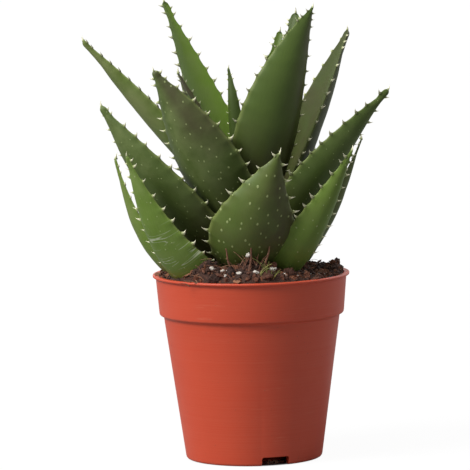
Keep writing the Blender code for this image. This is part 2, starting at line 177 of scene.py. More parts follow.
def leafSkin():
    look = skinLook
    book = newBook("aloeLeafSkin")
    place = book.objectPlace()
    blade = book.add("ShaderNodeUVMap", {"uv_map": "blade"})
    edge = book.attribute("edge")
    rise = book.attribute("rise")
    inside = book.attribute("inside")
    tint = book.attribute("leafTint")
    patch = book.speckle(place, 55.0, 5.0, 0.6)
    streak = book.speckle(book.stretched(blade, (9.0, 0.55, 1.0)), 2.2, 4.0, 0.55)
    green = book.mix(tint + patch * 0.5 - 0.25, look["deep"], look["mid"])
    green = book.mix((tint - 0.45) * 1.9 + inside * 0.12, green, look["bright"])
    green = book.mix(streak.between(0.35, 0.72) * 0.14, green, look["deep"])
    bloomSpread = book.speckle(place, 48.0, 7.0, 0.62).between(0.36, 0.66)
    bloom = book.attribute("leafBloom") * (bloomSpread * 0.8 + 0.2) * (1.0 - inside * 0.4)
    bloom = bloom * (1.0 - edge.between(0.55, 1.0) * 0.6) * (rise.between(0.25, 0.75) * 0.5 + 0.5)
    green = book.mix(bloom * 0.70, green, look["bloom"])
    brownSpread = book.speckle(place, 70.0, 4.0).between(0.35, 0.65)
    brown = book.attribute("leafBrown") * (inside * 0.75 + 0.25) * (brownSpread * 0.6 + 0.4)
    green = book.mix(brown, green, look["brown"])
    # the lower part of each leaf: darker-tinted leaves darken there as painted shade, bright leaves turn
    # yellow-green there as their own colour
    foot = 1.0 - rise.between(0.05, 0.46)
    base = book.mix(tint.between(0.58, 0.72), look["shadedBase"], look["base"])
    green = book.mix(foot * 0.55, green, base)
    # painted shade: the dark patch and the dark foot given for each leaf darken its green
    paintedShade = book.attribute("leafDusk") * (brownSpread * 0.45 + 0.55)
    green = book.mix(paintedShade * 0.9, green, look["paintedShade"])
    rim = edge.between(0.93, 0.995)
    green = book.mix(rim * 0.38, green, look["margin"])
    cells = book.cells(book.stretched(blade, (1.0, 0.72, 1.0)), look["spotCells"], 0.85)
    size = book.speckle(blade, 3.1, 2.0)
    veil = book.speckle(book.stretched(blade, (0.4, 4.4, 1.0), (0.0, 0.0, 0.45)), 1.0, 1.0, 0.3)
    line = 1.0 - (veil - 0.5).maths("ABSOLUTE").between(0.0, 0.020)
    line = line * book.speckle(blade, 1.3, 1.0).between(0.46, 0.56)
    scratch = line * book.attribute("leafScratch")
    scratch = scratch * rise.between(0.44, 0.52) * (1.0 - rise.between(0.66, 0.74))
    spotRoom = book.attribute("leafSpots") * (1.0 - inside * 0.75)
    radius = (spotRoom * 1.25 + size - 0.75).maths("MAXIMUM", 0.0) * look["spotRadius"]
    spot = (radius - cells).between(-0.026, 0.034) * radius.between(0.0, 0.02)
    colour = book.mix(spot * 0.72, green, look["spot"])
    colour = book.mix(scratch * 0.62, colour, look["scratch"])
    pores = book.cells(blade, 26.0, 1.0)
    relief = spot * 0.9 + streak * 0.15 + pores * 0.10 + patch * 0.8
    roughness = 0.40 + bloom * 0.22 + streak * 0.12 - spot * 0.05
    normal = book.bump(relief, 0.00022, 0.75)
    return book.finish(Base_Color=colour, Roughness=roughness, Normal=normal, Specular_IOR_Level=0.24)


def toothHorn():
    book = newBook("aloeTooth")
    rise = book.attribute("toothRise")
    grain = book.speckle(book.objectPlace(), 900.0, 2.0)
    colour = book.mix(rise.between(0.0, 0.45), (0.34, 0.38, 0.17), (0.80, 0.77, 0.56))
    colour = book.mix(rise.between(0.86, 1.0) * 0.5, colour, (0.42, 0.27, 0.12))
    normal = book.bump(grain, 0.00005)
    return book.finish(Base_Color=colour, Roughness=0.45 + grain * 0.1, Normal=normal)


potLook = {
    "clay": (0.545, 0.056, 0.017), "deep": (0.485, 0.044, 0.012), "dust": (0.62, 0.19, 0.11),
    "dirt": (0.16, 0.050, 0.025), "rings": 2600.0,
}


def potPlastic():
    look = potLook
    book = newBook("terracottaPlastic")
    place = book.objectPlace()
    cloud = book.speckle(place, 26.0, 4.0, 0.55)
    rings = book.speckle(book.stretched(place, (6.0, 6.0, look["rings"])), 1.0, 3.0, 0.6)
    grain = book.speckle(place, 2400.0, 3.0, 0.6)
    scuff = book.speckle(book.stretched(place, (60.0, 60.0, 1100.0), (0.0, 0.12, 0.0)), 1.0, 4.0, 0.6)
    scuff = scuff.between(0.60, 0.70) * cloud.between(0.50, 0.62)
    fleck = book.speckle(place, 900.0, 2.0, 0.5).between(0.70, 0.76)
    dust = book.speckle(place, 420.0, 6.0, 0.75).between(0.56, 0.80)
    height = book.add("ShaderNodeSeparateXYZ", None, {0: place}, 2)
    nearFoot = 1.0 - height.between(0.0, 0.012)
    nearLip = height.between(lipHeight - 3 * mm, lipHeight)
    colour = book.mix(cloud.between(0.3, 0.7) * 0.45, look["clay"], look["deep"])
    colour = book.mix(rings.between(0.3, 0.7) * 0.10, colour, look["dust"])
    colour = book.mix(scuff * 0.34 + dust * 0.08, colour, look["dust"])
    colour = book.mix(fleck * 0.40, colour, look["dirt"])
    colour = book.mix((nearFoot + nearLip) * dust * 0.55, colour, look["dirt"])
    roughness = 0.40 + cloud * 0.12 + scuff * 0.25 + dust * 0.08
    normal = book.bump(rings * 0.6 + grain * 0.35, 0.00006, 0.6)
    return book.finish(Base_Color=colour, Roughness=roughness, Normal=normal, Specular_IOR_Level=0.55)


def soilCrumb(name, stops, relief, scale):  # the shade of each crumb comes from its own number
    book = newBook(name)
    place = book.objectPlace()
    shade = book.attribute("crumbShade") * 0.75 + book.speckle(place, scale, 5.0, 0.7) * 0.5 - 0.12
    colour = book.add("ShaderNodeValToRGB", {"stops": stops}, {0: shade})
    grain = book.speckle(place, scale * 3.0, 4.0, 0.7)
    roughness = 0.80 + grain * 0.18
    return book.finish(Base_Color=colour, Roughness=roughness, Normal=book.bump(grain, relief))


peatStops = (
    (0.0, (0.012, 0.005, 0.003)), (0.40, (0.044, 0.016, 0.008)), (0.66, (0.100, 0.033, 0.015)),
    (0.84, (0.180, 0.066, 0.028)), (1.0, (0.30, 0.14, 0.075)),
)
chipStops = ((0.0, (0.045, 0.016, 0.009)), (0.5, (0.130, 0.046, 0.024)), (1.0, (0.27, 0.12, 0.06)))
perliteStops = ((0.0, (0.20, 0.14, 0.10)), (0.35, (0.50, 0.44, 0.37)), (1.0, (0.82, 0.79, 0.73)))
strawStops = ((0.0, (0.055, 0.022, 0.012)), (0.5, (0.15, 0.062, 0.034)), (1.0, (0.36, 0.20, 0.12)))
sproutStops = ((0.0, (0.07, 0.085, 0.018)), (0.6, (0.20, 0.22, 0.05)), (1.0, (0.36, 0.34, 0.12)))
barkStops = ((0.0, (0.030, 0.018, 0.010)), (0.5, (0.10, 0.075, 0.030)), (1.0, (0.22, 0.19, 0.08)))
leafMat = leafSkin()
toothMat = toothHorn()
potMat = potPlastic()
peatMat = soilCrumb("pottingSoil", peatStops, 0.0006, 420.0)
chipMat = soilCrumb("barkChip", chipStops, 0.0003, 500.0)
perliteMat = soilCrumb("perliteGrain", perliteStops, 0.0004, 900.0)
strawMat = soilCrumb("dryStalk", strawStops, 0.0002, 500.0)
sproutMat = soilCrumb("weedSprout", sproutStops, 0.0001, 400.0)
barkMat = soilCrumb("stemBark", barkStops, 0.0004, 300.0)
print("materials made")


# mesh helpers
def newObject(name, mesh, *materials):
    piece = bpy.data.objects.new(name, mesh)
    bpy.context.scene.collection.objects.link(piece)
    for material in materials:
        mesh.materials.append(material)
    return piece


def dropObject(piece):
    bpy.data.objects.remove(piece, do_unlink=True)


def frozen(piece):  # the evaluated shape as a plain mesh, with no modifiers left
    bpy.context.view_layer.update()
    graph = bpy.context.evaluated_depsgraph_get()
    mesh = bpy.data.meshes.new_from_object(piece.evaluated_get(graph))
    piece.modifiers.clear()
    old = piece.data
    piece.data = mesh
    mesh.name = old.name
    return piece


def setAttribute(mesh, name, values, kind="FLOAT"):
    layer = mesh.attributes.new(name, kind, "POINT")
    field = "vector" if kind == "FLOAT_VECTOR" else "value"
    layer.data.foreach_set(field, np.asarray(values, dtype=np.float32).ravel())


def meshOf(shape, name):  # turns a bmesh into a mesh and lets it go
    mesh = bpy.data.meshes.new(name)
    shape.to_mesh(mesh)
    shape.free()
    return mesh


def faceOut(mesh):
    shape = bmesh.new()
    shape.from_mesh(mesh)
    bmesh.ops.recalc_face_normals(shape, faces=shape.faces)
    shape.to_mesh(mesh)
    shape.free()


def bands(rings, steps):  # the quads between rings of points that follow one another
    faces = []
    for low in range(0, (rings - 1) * steps, steps):
        for step in range(steps):
            after = (step + 1) % steps
            faces.append((low + step, low + after, low + steps + after, low + steps + step))
    return faces


def shadeSmooth(mesh):
    mesh.polygons.foreach_set("use_smooth", [True] * len(mesh.polygons))


def belongs(piece, slot, *nodes):
    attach(piece, "root")
    if nodes:
        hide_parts(*nodes)


# Geometry Nodes helper: makes a tree with named inputs and hangs it on an object
class NodeTree:
    def __init__(self, name, inputs):
        self.tree = bpy.data.node_groups.new(name, "GeometryNodeTree")
        face = self.tree.interface
        face.new_socket("Geometry", in_out="INPUT", socket_type="NodeSocketGeometry")
        self.names = {}
        for label, kind in inputs.items():
            socket = face.new_socket(label, in_out="INPUT", socket_type=kind)
            self.names[label] = socket.identifier
        face.new_socket("Geometry", in_out="OUTPUT", socket_type="NodeSocketGeometry")
        self.start = self.tree.nodes.new("NodeGroupInput")
        self.end = self.tree.nodes.new("NodeGroupOutput")

    def given(self, label):
        return self.start.outputs[label]

    def add(self, kind, settings=None, sockets=None):
        node = self.tree.nodes.new(kind)
        for key, value in (settings or {}).items():
            setattr(node, key, value)
        for key, value in (sockets or {}).items():
            if isinstance(value, bpy.types.NodeSocket):
                self.tree.links.new(value, node.inputs[key])
            else:
                node.inputs[key].default_value = value
        return node

    def named(self, name, kind="FLOAT"):
        return self.add("GeometryNodeInputNamedAttribute", {"data_type": kind}, {"Name": name}).outputs[0]

    def product(self, first, second):
        return self.add("ShaderNodeMath", {"operation": "MULTIPLY"}, {0: first, 1: second}).outputs[0]

    def ends(self, socket):
        self.tree.links.new(socket, self.end.inputs[0])

    def hang(self, piece, values):
        modifier = piece.modifiers.new(self.tree.name, "NODES")
        modifier.node_group = self.tree
        for label, value in values.items():
            modifier[self.names[label]] = value
        return frozen(piece)


# the pot: one moulding, turned, with its drain slots cut through the foot
potShape = {
    "lipHeight": 1.2, "lipOverhang": 1.6, "collarHeight": 21.4, "collarTaper": 1.7,
    "collarStep": 2.4, "baseRadius": 36.3, "corner": 3.0, "wall": 1.3, "footWidth": 2.6,
    "stepRise": 0.9, "channelHeight": 5.4, "centreRadius": 21.0, "floorSlope": 4.0, "steps": 160,
    "drainCount": 3, "drainTurn": 288.0, "drainWidth": 15.0, "drainHeight": 4.8,
    "holeWidth": 8.0, "holeLength": 4.5,
}
collarFoot = lipHeight / mm - potShape["collarHeight"]
collarTopRadius = lipRadius / mm - potShape["lipOverhang"]
bodyTop = collarFoot - potShape["collarStep"]


def bodyRadius(height):
    top = collarTopRadius - potShape["collarTaper"] - potShape["collarStep"]
    return potShape["baseRadius"] + (top - potShape["baseRadius"]) * height / bodyTop


def innerWall():
    wall = potShape["wall"]
    floor = potShape["channelHeight"] + wall
    return [
        (bodyRadius(floor) - wall, floor), (bodyRadius(bodyTop) - wall, bodyTop),
        (collarTopRadius - potShape["collarTaper"] - wall, collarFoot + wall),
        (collarTopRadius - wall, lipHeight / mm),
    ]


def rounded(points, radii, steps=4):  # corners of a profile become arcs
    out = []
    for index, point in enumerate(points):
        radius = radii.get(index, 0.0)
        if not radius:
            out.append(point)
            continue
        here, before, after = (Vector(p) for p in (point, points[index - 1], points[index + 1]))
        into, away = (before - here), (after - here)
        reach = min(radius, into.length * 0.45, away.length * 0.45)
        first, last = here + into.normalized() * reach, here + away.normalized() * reach
        for step in range(steps + 1):
            t = step / steps
            spot = first * (1 - t) ** 2 + here * 2 * t * (1 - t) + last * t ** 2
            out.append((spot.x, spot.y))
    return out


def turnedMesh(name, profile, steps):
    shape = bmesh.new()
    verts = [shape.verts.new((radius * mm, 0.0, height * mm)) for radius, height in profile]
    edges = [shape.edges.new(pair) for pair in zip(verts, verts[1:])]
    bmesh.ops.spin(shape, geom=verts + edges, cent=(0, 0, 0), axis=(0, 0, 1), angle=math.tau,
                   steps=steps, use_merge=True)
    bmesh.ops.remove_doubles(shape, verts=shape.verts, dist=0.000005)
    bmesh.ops.recalc_face_normals(shape, faces=shape.faces)
    return meshOf(shape, name)


def boxCutter(name, azimuth, radius, size, height, corner):
    shape = bmesh.new()
    bmesh.ops.create_cube(shape, size=1.0)
    bmesh.ops.scale(shape, vec=[s * mm for s in size], verts=shape.verts)
    along = [e for e in shape.edges if abs(e.verts[0].co.x - e.verts[1].co.x) > size[0] * mm / 2]
    bmesh.ops.bevel(shape, geom=along, offset=corner * mm, segments=4, profile=0.5, affect="EDGES")
    turn = math.radians(azimuth)
    bmesh.ops.transform(shape, verts=shape.verts, matrix=(
        Matrix.Translation(Vector((radius * math.cos(turn), radius * math.sin(turn), height)) * mm)
        @ Matrix.Rotation(turn, 4, "Z")))
    return newObject(name, meshOf(shape, name))


def makePot():
    look = potShape
    wall, channel, centre = look["wall"], look["channelHeight"], look["centreRadius"]
    slopeEnd = centre + look["floorSlope"]
    footInner = bodyRadius(look["corner"]) - look["footWidth"] - look["corner"] / 2
    top = lipHeight / mm
    stepFoot = collarFoot - look["stepRise"]
    points = [(0.0, wall), (centre - wall, wall), (slopeEnd - wall, channel + wall)] + innerWall()
    lipStart = len(points)
    points += [
        (lipRadius / mm, top), (lipRadius / mm, top - look["lipHeight"]),
        (collarTopRadius, top - look["lipHeight"] - 0.5),
        (collarTopRadius - look["collarTaper"], collarFoot),
        (bodyRadius(stepFoot), stepFoot), (bodyRadius(0.0), 0.0), (footInner, 0.0),
        (footInner, channel), (slopeEnd, channel), (centre, 0.0), (0.0, 0.0),
    ]
    radii = {
        1: 1.0, 2: 1.0, 3: 1.0, 4: 1.5, 5: 1.5, lipStart - 1: 0.5, lipStart: 0.45,
        lipStart + 1: 0.45, lipStart + 2: 0.3, lipStart + 3: 0.9, lipStart + 4: 1.0,
        lipStart + 5: look["corner"], lipStart + 6: 0.5, lipStart + 7: 0.8, lipStart + 8: 1.0,
        lipStart + 9: 1.0,
    }
    pot = newObject("nursery_pot", turnedMesh("nursery_pot", rounded(points, radii), look["steps"]), potMat)
    cutters = []
    for index in range(look["drainCount"]):
        turn = look["drainTurn"] + index * 360.0 / look["drainCount"]
        slotSize = (3 * look["footWidth"] + look["corner"], look["drainWidth"], 2 * look["drainHeight"])
        cutters.append(boxCutter("slotTool", turn, look["baseRadius"], slotSize, 0.0, 1.0))
        holeSize = (look["holeLength"], look["holeWidth"], 4 * wall)
        holeRadius = footInner - look["holeLength"] / 2 - wall
        cutters.append(boxCutter("holeTool", turn, holeRadius, holeSize, channel + wall / 2, 0.6))
    for cutter in cutters:
        cut = pot.modifiers.new(cutter.name, "BOOLEAN")
        cut.operation = "DIFFERENCE"
        cut.solver = "EXACT"
        cut.object = cutter
    frozen(pot)
    for cutter in cutters:
        dropObject(cutter)
    shadeSmooth(pot.data)
    pot.data.set_sharp_from_angle(angle=math.radians(38))
    belongs(pot, "terracotta_plastic", "pot")


makePot()
print("pot made")


# leaves: the same rosette as the frame's, drawn finely, with teeth, bumps and a spine at the tip
# foot: azimuth in degrees and height; middle and tip: x, y and height; all in mm, heights above the lip
# size: width and thickness; shape: foot share, widest place, taper, channel; face: azimuth looked to
# look: tint, spots, bloom, brown; paintedShade: a patch of painted shade on the right (1), left (-1) or all
# (0) of the leaf, from and to along it, and how dark; footShade: how dark its foot is painted as shade;
#     blunt: tip radius; teeth: their share
leafSet = {
    "leaf_left_outer": dict(
        foot=(190, -5), middle=(-46.2, -6, 10.4), tip=(-70.6, -8, 63), size=(26.5, 8),
        shape=(.45, .40, 1.5, .45), face=195, look=(.66, .15, .55, .55), blunt=1.3),
    "leaf_left_front": dict(
        foot=(222, -7), middle=(-37, -28, 11), tip=(-64, -38, 67), size=(32, 12),
        shape=(.40, .42, 1.5, .15), face=230, look=(.60, .45, .45, .05), footShade=0, blunt=1.2,
        scratch=1.0),
    "leaf_left_low": dict(
        foot=(200, 3), middle=(-45.6, -18, 47.2), tip=(-77.2, -20, 92), size=(35, 10),
        shape=(.40, .40, 1.6, .20), face=225, look=(.38, .45, .66, .05), footShade=.75, blunt=2.4),
    "leaf_left_high": dict(
        foot=(165, 33), middle=(-48.6, 14, 82), tip=(-87.6, 25, 124), size=(29, 8),
        shape=(.35, .45, 1.6, .40), face=195, look=(.52, .15, 1.0, .70), footShade=.1, blunt=2.5),
    "leaf_front": dict(
        foot=(270, -1), middle=(2, -38, 27), tip=(16, -52, 68), size=(46, 13),
        shape=(.40, .48, 1.4, .10), face=275, look=(.48, .72, .25, .75), paintedShade=(1, .30, .92, .85)),
    "leaf_left_broad": dict(
        foot=(225, 21), middle=(-24, -24, 65), tip=(-49, -32, 111), size=(41, 13),
        shape=(.40, .42, 1.7, .15), face=240, look=(.30, .60, .75, .08), paintedShade=(1, .58, 1.1, .80),
        footShade=.35, blunt=2.4),
    "leaf_back_left_tall": dict(
        foot=(125, 31), middle=(-19.5, 22, 80), tip=(-44.2, 40, 143.4), size=(29, 8),
        shape=(.40, .40, 1.4, .30), face=130, look=(.68, .15, .75, .0), blunt=2.0),
    # this small heart leaf sits in shade: its low tint is partly its own dark green and partly painted shade
    "leaf_heart": dict(
        foot=(140, 35), middle=(-6.5, 2, 78), tip=(-10, 4, 109), size=(10.5, 5),
        shape=(.60, .40, 1.6, .30), face=230, look=(.12, .20, .0, .20), teeth=.7),
    "leaf_back_inner": dict(
        foot=(75, 31), middle=(8.4, 14, 81), tip=(18, 25, 127), size=(18, 7),
        shape=(.45, .40, 1.6, .30), face=80, look=(.48, .15, .20, .05), blunt=1.6),
    "leaf_back_right_tall": dict(
        foot=(55, 27), middle=(15, 24, 83.6), tip=(26.8, 38, 136), size=(23, 8),
        shape=(.45, .40, 1.6, .30), face=60, look=(.30, .30, .10, .05), blunt=2.4),
    "leaf_front_tall": dict(
        foot=(290, 27), middle=(12.6, -18, 84), tip=(35, -18, 142), size=(39, 14),
        shape=(.40, .42, 1.9, .10), face=300, look=(.45, .16, .06, .05), teeth=.72,
        paintedShade=(1, .20, 1.05, .72), footShade=.95),
    # this leaf's inner face lies in shade: its low tint is partly its own dark green and partly painted
    # shade, and painted shade covers the whole blade
    "leaf_right_tall": dict(
        foot=(10, 21), middle=(29.6, 4, 75), tip=(53.8, 10, 128), size=(35, 11),
        shape=(.40, .45, 1.8, .40), face=20, look=(.12, .20, .0, .08), paintedShade=(0, .0, 1.1, .60),
        footShade=.95, blunt=2.6),
    "leaf_right_mid": dict(
        foot=(340, 7), middle=(33.4, -16, 50.8), tip=(74, -22, 98.2), size=(29, 11),
        shape=(.40, .42, 1.6, .20), face=310, look=(.30, .38, .25, .15), footShade=.70, blunt=2.2),
    "leaf_right_front": dict(
        foot=(320, -6), middle=(25.5, -29, 18), tip=(54, -40, 68), size=(25, 11),
        shape=(.45, .45, 1.6, .15), face=300, look=(.62, .55, .30, .45), footShade=.0),
    "leaf_right_outer": dict(
        foot=(350, -2), middle=(33, -8, 20), tip=(59.8, -5, 71), size=(27, 8),
        shape=(.40, .40, 1.6, .40), face=350, look=(.38, .20, .15, .75)),
    "leaf_left_inner": dict(
        foot=(150, 25), middle=(-22, 14, 71), tip=(-37, 20, 106), size=(18, 7),
        shape=(.40, .40, 1.6, .30), face=150, look=(.38, .20, .20, .70)),
    "leaf_back_middle": dict(
        foot=(90, 5), middle=(2, 30, 39), tip=(4, 58, 77), size=(36, 11),
        shape=(.40, .40, 1.6, .20), face=90, look=(.45, .60, .40, .05)),
    "leaf_back_right": dict(
        foot=(55, 0), middle=(22, 26, 19), tip=(36, 50, 61), size=(32, 10),
        shape=(.40, .42, 1.6, .20), face=55, look=(.50, .65, .30, .05)),
    "leaf_back_left": dict(
        foot=(125, -1), middle=(-20, 30, 35), tip=(-34, 56, 73), size=(34, 10),
        shape=(.40, .42, 1.6, .20), face=125, look=(.40, .60, .45, .05)),
    "leaf_back_left_low": dict(
        foot=(155, -3), middle=(-32, 16, 11), tip=(-50, 34, 49), size=(28, 9),
        shape=(.40, .42, 1.6, .20), face=155, look=(.52, .45, .30, .10)),
    "leaf_back_right_low": dict(
        foot=(25, -4), middle=(28, 16, 11), tip=(44, 26, 47), size=(26, 9),
        shape=(.40, .42, 1.6, .20), face=25, look=(.50, .45, .25, .15)),
}
leafForm = {
    "sections": 110, "sideSteps": 18, "fold": 0.22, "outerShare": 0.72, "innerShare": 0.28, "droop": 0.5,
    "footReach": 4.2, "toothGap": 8.2, "tipGap": 3.6, "tipZone": 0.90, "toothFrom": 0.16,
    "toothLength": 3.6, "tipTooth": 2.9, "toothMound": 0.8, "moundWidth": 1.5, "lumps": 0.22,
    "edgeRound": 0.35, "blunt": 0.9, "footShade": 0.40, "footShadeTop": 0.55, "footShadeFade": 0.3,
    "shadeFade": (0.15, 0.1), "lastSection": 0.998, "tipCrowding": 1.4, "swell": (2.2, 0.9),
    "footDepth": (0.55, 0.45), "fullWidth": 0.6, "steepest": 1.1, "thinnest": 0.35, "tipRoom": 0.2,
    "tipDepth": 0.9, "toothless": 0.985, "toothSpread": (0.85, 1.18), "smallTooth": (0.55, 0.45),
    "fullSize": 26.0, "nearTip": 0.25, "narrowGap": (0.62, 0.38), "fullHalf": 18.0,
    "liftSize": 14.0, "dentSize": 4.5, "dents": 0.35, "smoothHalf": 6.0,
}


def unit(vectors):
    return vectors / np.linalg.norm(vectors, axis=-1, keepdims=True)


def toothPlaces(length, half, seed):  # distances along a margin at which the teeth stand
    form = leafForm
    random = np.random.default_rng(seed)
    places = []
    spot = length * form["toothFrom"] + random.uniform(0, form["toothGap"] * 0.6)
    narrow, more = form["narrowGap"]
    while spot < length * form["toothless"]:
        places.append(spot)
        share = spot / length
        gap = form["toothGap"] if share < form["tipZone"] else form["tipGap"]
        gap *= narrow + more * min(1.0, half / form["fullHalf"])
        spot += gap * random.uniform(*form["toothSpread"])
    return places


def leafMesh(name, leaf, seed):
    form = leafForm
    lip = np.array((0.0, 0.0, lipHeight / mm))
    turn = math.radians(leaf["foot"][0])
    reach = form["footReach"]
    start = np.array((reach * math.cos(turn), reach * math.sin(turn), leaf["foot"][1])) + lip
    tip = np.array(leaf["tip"]) + lip
    control = 2 * (np.array(leaf["middle"]) + lip) - (start + tip) / 2
    count, across = form["sections"], form["sideSteps"]
    even = np.linspace(0.0, 1.0, count)[:, None]
    s = form["lastSection"] * (1 - (1 - even) ** form["tipCrowding"])
    spine = (1 - s) ** 2 * start + 2 * s * (1 - s) * control + s ** 2 * tip
    tangent = unit(2 * (1 - s) * (control - start) + 2 * s * (tip - control))
    look = math.radians(leaf["face"])
    outward = np.array((math.cos(look), math.sin(look), -form["droop"]))
    normal = unit(outward - (tangent @ outward)[:, None] * tangent)
    side = np.cross(tangent, normal)
    s = s[:, 0]
    footShare, widest, taper, channel = leaf["shape"]
    width, thickness = leaf["size"]
    grow = footShare + (1 - footShare) * np.sin(math.pi / 2 * np.clip(s / widest, 0, 1))
    fall = 1 - np.clip((s - widest) / (1 - widest), 0, 1) ** taper
    share = np.where(s < widest, grow, fall)
    half = width / 2 * share
    swell, swellEnd = form["swell"]
    footDepth, moreDepth = form["footDepth"]
    filled = footDepth + moreDepth * np.minimum(1, share / form["fullWidth"])
    depth = thickness * (1 - s ** swell) ** swellEnd * filled
    depth = np.minimum(depth, form["steepest"] * half)
    path = np.concatenate([[0.0], np.cumsum(np.linalg.norm(np.diff(spine, axis=0), axis=1))])
    length = path[-1]
    blunt = leaf.get("blunt", form["blunt"])
    ending = np.clip((length + form["tipRoom"] - path) / blunt, 0, 1)
    cap = blunt * np.sqrt(1 - (1 - ending) ** 2)
    half = np.maximum(half, cap)
    depth = np.maximum(depth, cap * form["tipDepth"])
    teeth = np.zeros((count, 2))
    mound = np.zeros((count, 2))
    for edgeIndex in (0, 1):
        for place in toothPlaces(length, width / 2, seed * 2 + edgeIndex):
            row = int(np.argmin(abs(path - place)))
            nearTip = min(1.0, (1 - s[row]) / form["nearTip"])
            size = form["tipTooth"] + (form["toothLength"] - form["tipTooth"]) * nearTip
            small, more = form["smallTooth"]
            size *= (small + more * min(1.0, width / form["fullSize"])) * leaf.get("teeth", 1.0)
            teeth[row, edgeIndex] = size
            bell = np.exp(-((path - path[row]) / form["moundWidth"]) ** 2)
            mound[:, edgeIndex] += bell * form["toothMound"] * size / form["toothLength"]
    margin = np.cos(np.linspace(0.0, math.pi, across + 1))
    crown = 1 - margin ** 2
    rings, tooth, lateral, forward, edge, inside, uv, paintedShade = [], [], [], [], [], [], [], []
    # painted shade: a dark patch on one side of the leaf or all of it, between two places along it
    hand, shadeFrom, shadeTo, shadeDepth = leaf.get("paintedShade", (0, 0.5, 1.0, 0.0))
    outside, within = form["shadeFade"]
    fadeAt = (shadeFrom - outside, shadeFrom + within, shadeTo - within, shadeTo + outside)
    dark = shadeDepth * np.interp(s, fadeAt, (0, 1, 1, 0))
    # painted shade at the foot, where the leaves crowd in the rosette, fading out higher up the leaf
    fadeAt = (form["footShadeTop"] - form["footShadeFade"], form["footShadeTop"])
    footShade = leaf.get("footShade", form["footShade"]) * np.interp(s, fadeAt, (1, 0))
    overRing = np.concatenate([margin, margin[-2:0:-1]])
    for i in range(count):
        fold = form["fold"] * half[i] * (0.4 - margin ** 2)
        thin = min(form["edgeRound"], depth[i] * 0.2) * crown ** 0.25
        outer = fold + depth[i] * form["outerShare"] * crown ** 0.75 + thin * 0.3
        inner = fold - depth[i] * (form["innerShare"] - channel) * crown - thin * 0.3
        inner = np.minimum(inner, outer - form["thinnest"] * crown * depth[i])
        swell = np.where(margin > 0, mound[i, 0], mound[i, 1]) * np.sign(margin) * abs(margin) ** 10
        sideways = margin * half[i] + swell
        front = spine[i] + np.outer(sideways, side[i]) + np.outer(outer, normal[i])
        back = spine[i] + np.outer(sideways, side[i]) + np.outer(inner, normal[i])
        front[[0, -1]] = (front[[0, -1]] + back[[0, -1]]) / 2
        rings.append(np.vstack([front, back[-2:0:-1]]))
        marks = np.zeros(2 * across)
        marks[0], marks[across] = teeth[i]
        tooth.append(marks)
        lateral += [side[i]] * across + [-side[i]] * across
        forward += [tangent[i]] * (2 * across)
        edge.append(np.concatenate([abs(margin), abs(margin[-2:0:-1])]))
        inside.append(np.concatenate([np.zeros(across + 1), np.ones(across - 1)]))
        rows = np.concatenate([sideways, -sideways[-2:0:-1] + 3 * half[i]])
        onHand = np.clip(overRing * hand * 1.3 + 0.35, 0, 1) if hand else 1.0
        paintedShade.append(np.maximum(dark[i] * onHand, footShade[i]) * np.ones(2 * across))
        uv.append(np.stack([rows / 10 + seed * 3.7, np.full(2 * across, path[i] / 10)], 1))
    points = np.concatenate(rings)
    ring = 2 * across
    lateral = np.array(lateral)
    lateral[across::ring] = -side
    lift = np.array([noise.noise(Vector(p) / form["liftSize"] + Vector((seed, 0, 0))) for p in points])
    dents = np.array([noise.noise(Vector(p) / form["dentSize"] + Vector((0, seed, 0))) for p in points])
    flat = 1 - np.concatenate(edge) ** 4
    centre = np.repeat(spine, ring, axis=0)
    push = unit(points - centre + 1e-6)
    fade = np.repeat(np.minimum(1, half / form["smoothHalf"]), ring)
    bumps = (lift + form["dents"] * dents) * form["lumps"]
    points = points + push * (bumps * flat * fade)[:, None]
    verts = [tuple(p * mm) for p in points] + [tuple(tip * mm), tuple(start * mm)]
    faces = bands(count, ring)
    last = (count - 1) * ring
    faces += [(last + step, last + (step + 1) % ring, len(verts) - 2) for step in range(ring)]
    faces += [((step + 1) % ring, step, len(verts) - 1) for step in range(ring)]
    mesh = bpy.data.meshes.new(name)
    mesh.from_pydata(verts, [], faces)
    setAttribute(mesh, "tooth", np.concatenate(tooth + [[form["tipTooth"] * 1.1, 0]]))
    setAttribute(mesh, "lateral", np.vstack([lateral, tangent[-1], side[0]]), "FLOAT_VECTOR")
    setAttribute(mesh, "forward", np.vstack([forward, -normal[-1], tangent[0]]), "FLOAT_VECTOR")
    setAttribute(mesh, "edge", np.concatenate(edge + [[1, 0]]))
    setAttribute(mesh, "inside", np.concatenate(inside + [[0, 0]]))
    setAttribute(mesh, "rise", np.concatenate([np.repeat(s, ring), [1, 0]]))
    for label, value in zip(("leafTint", "leafSpots", "leafBloom", "leafBrown"), leaf["look"]):
        setAttribute(mesh, label, np.full(len(verts), value))
    setAttribute(mesh, "leafScratch", np.full(len(verts), leaf.get("scratch", 0.0)))
    setAttribute(mesh, "leafDusk", np.concatenate(paintedShade + [[0, 0]]))
    layer = mesh.uv_layers.new(name="blade")
    flatUv = np.vstack(uv + [[[0, length / 10]], [[0, 0]]])
    loops = np.zeros(len(mesh.loops), dtype=np.int32)
    mesh.loops.foreach_get("vertex_index", loops)
    layer.data.foreach_set("uv", flatUv[loops].astype(np.float32).ravel())
    faceOut(mesh)
    shadeSmooth(mesh)
    return mesh


toothShape = {
    "rings": 5, "steps": 6, "stout": 0.215, "taper": 1.25, "point": 0.016, "bend": 0.48, "bendFrom": 1.9,
    "long": 1.35, "flat": 0.75, "sunk": 0.12, "tip": (0.52, 0.0, 0.90),
}


